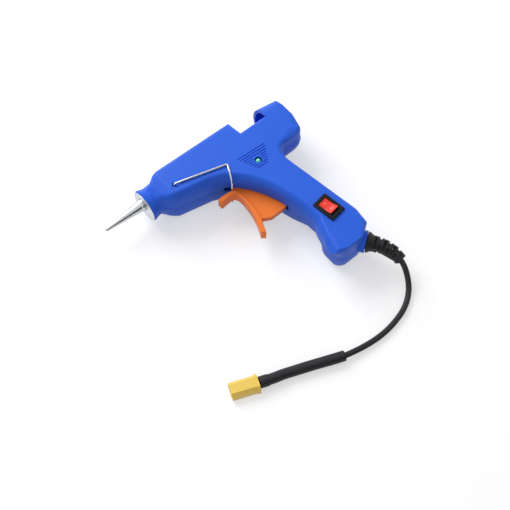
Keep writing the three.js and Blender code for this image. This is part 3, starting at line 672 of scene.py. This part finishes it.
fit(heat_plate(), turned_aluminium, "housing", "aluminium")

# Heating set, inside the housing: the cast melt chamber, its ceramic heater under a steel clip, a
# washer that keeps the heat off the neck, and the silicone sleeve that takes the stick in.
cast_aluminium = metal_finish(
    "cast_aluminium", colour(184, 187, 190), 0.5, line=0.6 * mm, depth=0.03 * mm)
white_ceramic = moulded_finish(
    "white_ceramic", colour(232, 228, 216), 0.7, grain=0.3 * mm, depth=0.01 * mm)
silicone_rubber = moulded_finish("silicone_rubber", colour(214, 210, 200), 0.62, grain=0.8 * mm)
spring_steel = metal_finish("spring_steel", colour(176, 178, 184), 0.26, stretch=(0.3, 4, 4))
for node, edge, material, slot in (
    ("melt_chamber", 0.2, cast_aluminium, "aluminium"), ("heater_plate", 0.15, white_ceramic, "ceramic"),
    ("heater_clip", 0.1, spring_steel, "spring_steel"), ("heat_washer", 0.1, silicone_rubber, "silicone"),
    ("guide_sleeve", 0.1, silicone_rubber, "silicone"),
):
    fit(round_edges(bench_copy(node, node + "_fitted"), edge * mm), material, "housing", slot, node)

# Trigger: one orange ABS moulding, with a curved finger plate, a hook at its top and a flat web
# that swings into the grip on a steel pin.
orange_abs = moulded_finish("orange_abs", colour(255, 127, 38), 0.42, gloss=0.35)
fit(round_edges(bench_copy("trigger", "trigger_moulding"), 0.5 * mm, segments=3), orange_abs, "trigger",
    "orange_plastic", "trigger")
fit(round_edges(bench_copy("trigger_pin", "pin_ground"), 0.25 * mm), spring_steel, "housing",
    "spring_steel", "trigger_pin")

# Feeder: a black nylon carriage that the trigger's lever pushes along its rails, with a rubber
# ring that grips the stick.
black_nylon = moulded_finish("black_nylon", colour(26, 26, 30), 0.45)
black_rubber = moulded_finish("black_rubber", colour(24, 24, 27), 0.66, grain=0.5 * mm, depth=0.02 * mm)
fit(round_edges(bench_copy("feeder_carriage", "carriage_moulding"), 0.2 * mm), black_nylon, "feeder",
    "black_plastic", "feeder_carriage")
fit(round_edges(bench_copy("feeder_grip_ring", "grip_ring_moulding"), 0.2 * mm), black_rubber, "feeder",
    "black_rubber", "feeder_grip_ring")


# Return spring: six turns of hard drawn steel wire, wound cold. It sits on a post in the grip and
# pushes the trigger's web back out, so it is squashed as the trigger is pulled.
def return_spring():
    low, high = corners_of("return_spring")
    wire = 0.3 * mm
    radius = (high.z - low.z) / 2 - wire
    middle = (low + high) / 2
    turns = 6
    steps = 24 * turns
    path = []
    for i in range(steps + 1):
        angle = 2 * math.pi * turns * i / steps
        x = low.x + wire + (high.x - low.x - 2 * wire) * i / steps
        path.append(Vector((x, middle.y + radius * math.cos(angle), middle.z + radius * math.sin(angle))))
    return as_mesh(tube("spring_coil", path, wire, resolution=3))


spring_coil = fit(return_spring(), spring_steel, "housing", "spring_steel", "return_spring")
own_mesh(spring_coil)

# Wire stand: one length of bright steel wire with an arm along each side. It turns in two holes
# in the barrel, and its feet hook round in front of the trigger.
wire_radius = 0.6
stand_gap = 0.25
stand_out = housing_half + stand_gap + wire_radius
stand_bend = 1.1
stand_corners = [
    (44, -8.2, stand_out), (75.6, -17.3, stand_out), (73.2, -22.5, stand_out), (71.1, -27.1, 11.3),
    (70.2, -28.1, 6.7),
]


def bent_wire(name, corners, radius, bend):
    """A wire through its corners, each bent to a radius."""
    mesh = bpy.data.meshes.new(name)
    mesh.from_pydata(corners, [(i, i + 1) for i in range(len(corners) - 1)], [])
    piece = bpy.data.objects.new(name, mesh)
    bpy.context.scene.collection.objects.link(piece)
    edit(piece)
    bpy.ops.object.mode_set(mode="OBJECT")
    for end in (0, -1):
        piece.data.vertices[end].select = False
    bpy.ops.object.mode_set(mode="EDIT")
    bpy.ops.mesh.bevel(offset=bend, segments=5, affect="VERTICES")
    bpy.ops.object.mode_set(mode="OBJECT")
    bpy.ops.object.convert(target="CURVE")
    piece.data.bevel_depth = radius
    piece.data.bevel_resolution = 4
    piece.data.use_fill_caps = True
    return as_mesh(piece)


right_side = [at(x, y, -z) for x, y, z in reversed(stand_corners)]
left_side = [at(x, y, z) for x, y, z in stand_corners]
bright_wire = metal_finish("bright_wire", colour(206, 207, 210), 0.2, line=1.5 * mm, depth=0.002 * mm)
fit(bent_wire("stand_wire", right_side + left_side, wire_radius * mm, stand_bend * mm), bright_wire,
    "stand", "steel_wire", "wire_stand")

# Indicator lamp: a 3 mm green diode with a domed front, just under the face, soldered to a small
# board with its resistor. Its lens has a faint painted glow.
lamp_x = 91.6
lamp_y = -26
lamp_sunk = 0.2
lens_radius = 1.5
lens_body = 3
flange_share = 1.2
flange_height = 1


def lamp():
    dome = at(lamp_x, lamp_y, housing_half - lamp_sunk - lens_radius)
    piece = primitive(
        "lamp_lens", bpy.ops.mesh.primitive_uv_sphere_add, segments=40, ring_count=20,
        radius=lens_radius * mm, location=dome)
    edit(piece)
    bpy.ops.mesh.bisect(plane_co=dome, plane_no=(0, 0, 1), clear_inner=True)
    bpy.ops.mesh.extrude_edges_move(TRANSFORM_OT_translate={"value": (0, 0, -lens_body * mm)})
    for grow, drop in ((flange_share, 0), (1, -flange_height * mm)):
        bpy.ops.mesh.extrude_edges_move(TRANSFORM_OT_translate={"value": (0, 0, drop)})
        bpy.ops.transform.resize(value=(grow, grow, 1), center_override=dome)
    bpy.ops.mesh.edge_face_add()
    face_out()
    return close(piece)


# The lens's faint emission is a painted glow that brightens its green.
green_epoxy_painted_glow = Finish("green_epoxy_painted_glow", colour(116, 222, 170), 0.14, Coat_Weight=0.6, Emission_Strength=0.12)
green_epoxy_painted_glow.feed("Base Color", green_epoxy_painted_glow.mix(
    green_epoxy_painted_glow.noise(1.2 * mm), colour(104, 214, 180), colour(150, 236, 208)))
green_epoxy_painted_glow.feed("Emission Color", colour(90, 214, 176))
fit(lamp(), green_epoxy_painted_glow.material, "housing", "lamp_green", "indicator_lamp")
green_laminate = moulded_finish("green_laminate", colour(42, 104, 62), 0.4, grain=0.6 * mm)
fit(round_edges(bench_copy("lamp_board", "lamp_board_cut"), 0.08 * mm), green_laminate, "housing",
    "board_laminate", "lamp_board")
fit(round_edges(bench_copy("lamp_resistor", "resistor_body"), 0.2 * mm), white_ceramic, "housing",
    "ceramic", "lamp_resistor")

# Rocker switch: a black bezel clipped into the window, a red rocker that tips over its axle and
# two brass blades underneath. The rocker carries a pale dash and a pale ring, printed.
black_bezel = moulded_finish("black_bezel", colour(13, 13, 18), 0.4, grain=0.4 * mm, gloss=0.2)
fit(round_edges(bench_copy("switch_frame", "switch_bezel"), 0.16 * mm), black_bezel, "housing",
    "black_plastic", "switch_frame")
switch_place = at(101.6, -75.9, housing_half)
switch_turn = math.radians(-81.7)
rocker_tilt = math.radians(9)
axle_depth = 1.2 * mm
switch_seat = (
    Matrix.Translation(switch_place) @ Matrix.Rotation(switch_turn, 4, "Z")
    @ Matrix.Translation((0, 0, -axle_depth)) @ Matrix.Rotation(-rocker_tilt, 4, "Y")
    @ Matrix.Translation((0, 0, axle_depth)))
rocker_half = 4.8 * mm
rocker_width = 6.3 * mm
rocker_depth = 4.2 * mm
rocker_draft = 0.4
rocker_rise = 1.9 * mm
rocker_valley = rocker_rise - rocker_half * math.tan(rocker_tilt)
rocker_dish = 0.18 * mm


def rocker_top(x):
    """The height of the rocker's shallow, slightly dished V at a place along it."""
    share = abs(x) / rocker_half
    dish = rocker_dish * math.sin(math.pi * share)
    return rocker_valley + (rocker_rise - rocker_valley) * share - dish


def seat(piece):
    """Moves a piece from the switch's own frame into its place in the grip."""
    pick(piece)
    piece.matrix_world = switch_seat @ piece.matrix_world
    bpy.ops.object.transform_apply(location=True, rotation=True, scale=True)
    return piece


def rocker():
    piece = primitive(
        "rocker_cap", bpy.ops.mesh.primitive_cube_add, size=1, location=(0, 0, -rocker_depth / 2),
        scale=(2 * rocker_half, rocker_width, rocker_depth))
    edit(piece)
    bpy.ops.mesh.subdivide(number_cuts=11)
    bpy.ops.object.mode_set(mode="OBJECT")
    for vertex in piece.data.vertices:
        lift = (vertex.co.z + rocker_depth) / rocker_depth
        vertex.co.z = -rocker_depth + lift * (rocker_depth + rocker_top(vertex.co.x))
        vertex.co.x *= 1 - rocker_draft * (1 - lift)
    return seat(round_edges(piece, 0.35 * mm, angle=40, segments=4))


red_gloss = moulded_finish(
    "red_gloss", colour(244, 48, 34), 0.24, grain=1.5 * mm, depth=0.004 * mm, drift=0.04)
fit(rocker(), red_gloss, "rocker", "red_plastic", "switch_rocker")

mark_offset = 2.6 * mm
mark_proud = 0.02 * mm
dash_size = (0.38 * mm, 1.4 * mm, 0.12 * mm)
ring_radius = 0.8 * mm
ring_line = 0.2 * mm


def dash():
    piece = primitive(
        "rocker_dash", bpy.ops.mesh.primitive_cube_add, size=1, scale=dash_size,
        location=(-mark_offset, 0, rocker_top(mark_offset) + mark_proud), rotation=(0, rocker_tilt, 0))
    return seat(round_edges(piece, 0.04 * mm))


def ring():
    piece = primitive(
        "rocker_ring", bpy.ops.mesh.primitive_torus_add, major_segments=40, minor_segments=10,
        major_radius=ring_radius, minor_radius=ring_line,
        location=(mark_offset, 0, rocker_top(mark_offset) - mark_proud), rotation=(0, -rocker_tilt, 0))
    bpy.ops.object.shade_smooth()
    return seat(piece)


pale_print = moulded_finish("pale_print", colour(255, 176, 160), 0.4)
for mark in (dash(), ring()):
    fit(mark, pale_print, "rocker", "red_plastic")

tinned_brass = metal_finish("tinned_brass", colour(206, 178, 110), 0.3)
for node in ("switch_terminal_1", "switch_terminal_2"):
    fit(round_edges(bench_copy(node, node + "_blade"), 0.08 * mm), tinned_brass, "housing", "brass", node)

# Housing screws: five, of zinc plated steel, with flat pan heads and a cross recess. They are
# driven through the right half into the left one's posts, and their heads sit in round seats.
head_radius = 2.2
head_height = 1.5
crown_share = 0.5
edge_share = 0.86
edge_height = 0.12
side_height = 0.42
shank_radius = 1.1
tip_share = 0.2
tip_height = 15.4
screw_length = 17
screw_rings = (
    (edge_share * head_radius, edge_height), (head_radius, side_height), (head_radius, head_height),
    (shank_radius, head_height), (shank_radius, tip_height), (tip_share * shank_radius, screw_length),
)
recess_size = (2.5 * mm, 0.5 * mm, 1.5 * mm)
recess_turn = 0.4


def screw(node):
    low, high = corners_of(node)
    middle = (low + high) / 2
    top = (middle.x, middle.y, low.z)
    radius = crown_share * head_radius
    height = 0
    piece = primitive(
        node + "_driven", bpy.ops.mesh.primitive_circle_add, vertices=40, radius=radius * mm,
        fill_type="NGON", location=top)
    edit(piece)
    for next_radius, next_height in screw_rings:
        bpy.ops.mesh.extrude_region_move(
            TRANSFORM_OT_translate={"value": (0, 0, (next_height - height) * mm)})
        grow = next_radius / radius
        bpy.ops.transform.resize(value=(grow, grow, 1), center_override=middle)
        radius = next_radius
        height = next_height
    face_out()
    bpy.ops.object.mode_set(mode="OBJECT")
    for turn in (recess_turn, recess_turn + math.pi / 2):
        cut(piece, primitive(
            "recess_arm", bpy.ops.mesh.primitive_cube_add, size=1, location=top, rotation=(0, 0, turn),
            scale=recess_size))
    pick(piece)
    bpy.ops.object.shade_smooth_by_angle(angle=math.radians(40))
    return piece


zinc_plate = metal_finish("zinc_plate", colour(186, 188, 194), 0.34)
for node in ("screw_nose", "screw_breech", "screw_tail", "screw_grip", "screw_toe"):
    fit(screw(node), zinc_plate, "housing", "spring_steel", node)

# Strain relief boot: soft black PVC moulded round the cord. A flared collar seats on the housing,
# then rings joined by pairs of short bars, turned a quarter from ring to ring, so that it bends.
boot_route = Route(table_route([
    (105.2, -96.2, 15.3), (108.75, -101, 15.3), (110.8, -103.9, 15.25), (112.9, -106.9, 15),
    (114.8, -110, 14.6), (116.4, -113.6, 13.8), (117.4, -117.4, 12.6), (117.7, -120.9, 11.3),
]))
neck_run = (3.55, 4.8)
neck_length = math.hypot(*neck_run) * mm
neck_wall = 1.8 * mm
boot_gap = 0.3 * mm
boot_face = neck_length + boot_gap
collar_end = boot_face + 4.2 * mm
ring_count = 7
ring_pitch = (boot_route.length - collar_end) / ring_count
ring_start = 4.7
ring_taper = 1.2
ring_share = 0.52
last_ring_share = 0.9
bar_width = 1.6 * mm
bar_span_share = 0.42
bar_reach_share = 0.76


def on_boot(distance):
    """A frame on the boot's centre line, with its Z along the cord."""
    ahead = boot_route.heading(distance)
    side = ahead.cross(Vector((0, 0, 1))).normalized()
    over = side.cross(ahead)
    turn = Matrix((side, over, ahead)).transposed().to_4x4()
    return Matrix.Translation(boot_route.point(distance)) @ turn


def boot_core():
    """The plug behind the neck's wall, the collar in front of it and the thin tube under the rings."""
    step = 0.02 * mm
    plug_end = neck_length - neck_wall - boot_gap
    rows = [
        (plug_end - 2 * mm, 5.4), (plug_end, 5.4), (plug_end + step, 4.2), (boot_face - step, 4.2),
        (boot_face, 5.9), (boot_face + 0.25 * mm, 6.15), (boot_face + 1.2 * mm, 6.1),
        (boot_face + 2 * mm, 5.55), (boot_face + 3 * mm, 4.95), (collar_end, 4.7),
        (collar_end + step, 3.1), (boot_route.length, 2.7),
    ]
    path = [boot_route.point(distance) for distance, _ in rows]
    return as_mesh(tube("boot_body", path, mm, [radius for _, radius in rows], resolution=8))


def boot_ring(i):
    """One ring and the two bars that join it to what is before it."""
    last = i == ring_count - 1
    radius = (ring_start - ring_taper * i / (ring_count - 1)) * mm
    thick = ring_pitch * (last_ring_share if last else ring_share)
    disc = primitive(
        "boot_disc", bpy.ops.mesh.primitive_cylinder_add, vertices=48, radius=radius, depth=thick)
    disc.matrix_world = on_boot(collar_end + ring_pitch * (i + 1) - thick / 2)
    parts = [disc]
    for side in (0, math.pi):
        angle = side + (math.pi / 2 if i % 2 else 0)
        bar = primitive(
            "boot_bar", bpy.ops.mesh.primitive_cube_add, size=1,
            scale=(bar_width, 2 * radius * bar_span_share, ring_pitch))
        bar.matrix_world = (
            on_boot(collar_end + ring_pitch * (i + 0.5)) @ Matrix.Rotation(angle, 4, "Z")
            @ Matrix.Translation((radius * bar_reach_share, 0, 0)))
        parts.append(bar)
    return parts


def boot():
    """The core, the rings and the bars, made one soft moulding."""
    voxel = 0.16 * mm
    body = boot_core()
    parts = [part for i in range(ring_count) for part in boot_ring(i)]
    pick(body)
    for part in parts:
        part.select_set(True)
    bpy.ops.object.join()
    bpy.ops.object.transform_apply(location=True, rotation=True, scale=True)
    apply(body, "REMESH", mode="VOXEL", voxel_size=voxel)
    apply(body, "SMOOTH", factor=0.6, iterations=3)
    bpy.ops.object.shade_smooth()
    return body


soft_pvc = jacket_finish("soft_pvc", colour(16, 16, 21), 0.5, 0.6 * mm)
fit(boot(), soft_pvc, "housing", "black_rubber", "strain_relief")


# Table and light: a pale table top that the camera sees as white, with the gun's shadow on it, one
# large soft lamp beyond the barrel's top side, and an even room with one dark side for the metal.
def camera_only(nodes, low, high):
    """A number that is high where the camera or a mirror looks at it, and low for all other light."""
    camera_ray = nodes.node("ShaderNodeLightPath", {}, {}, "Is Camera Ray")
    mirror_ray = nodes.node("ShaderNodeLightPath", {}, {}, "Is Glossy Ray")
    seen = camera_ray.math("MAXIMUM", camera_ray, mirror_ray)
    return seen * (high - low) + low


table_top = primitive("table_top", bpy.ops.mesh.primitive_plane_add, size=6)
white_top = Finish("white_top", colour(200, 200, 202), 0.85, Specular_IOR_Level=0.1)
white_top.feed("Emission Color", (1, 1, 1, 1))
table_glow = 0.5
white_top.feed("Emission Strength", camera_only(white_top, 0, table_glow))
table_top.data.materials.append(white_top.material)

lamp_data = bpy.data.lights.new("soft_lamp", "AREA")
lamp_data.shape = "DISK"
lamp_data.size = 0.9
lamp_data.energy = 11.8
soft_lamp = bpy.data.objects.new("soft_lamp", lamp_data)
soft_lamp.location = (-0.1, 0.95, 0.85)
soft_lamp.rotation_euler = (-soft_lamp.location).to_track_quat("-Z", "Y").to_euler()
bpy.context.scene.collection.objects.link(soft_lamp)


def dark_side(nodes, low, high, dark):
    """How bright a mirror sees the room. It is dark beyond the grip's end, so that metal has its streak."""
    towards = nodes.node("ShaderNodeTexCoord", {}, {}, "Generated")
    back = nodes.node("ShaderNodeSeparateXYZ", {}, {0: towards}, "Y")
    band = {"Value": back, "From Min": low, "From Max": high, "To Min": dark, "To Max": 1}
    bright = nodes.node("ShaderNodeMapRange", {}, band)
    mirror_ray = nodes.node("ShaderNodeLightPath", {}, {}, "Is Glossy Ray")
    return 1 - mirror_ray * (1 - bright)


room_fill = 0.52
room_seen = 1
dark_until = -0.8
bright_from = -0.62
streak_level = 0.08
world = bpy.data.worlds.new("room")
world.use_nodes = True
bpy.context.scene.world = world
room = Nodes(world.node_tree)
sky = room.tree.nodes["Background"]
room.join(sky.inputs["Color"], (1, 1, 1, 1))
room.join(sky.inputs["Strength"], (
    camera_only(room, room_fill, room_seen) * dark_side(room, dark_until, bright_from, streak_level)))
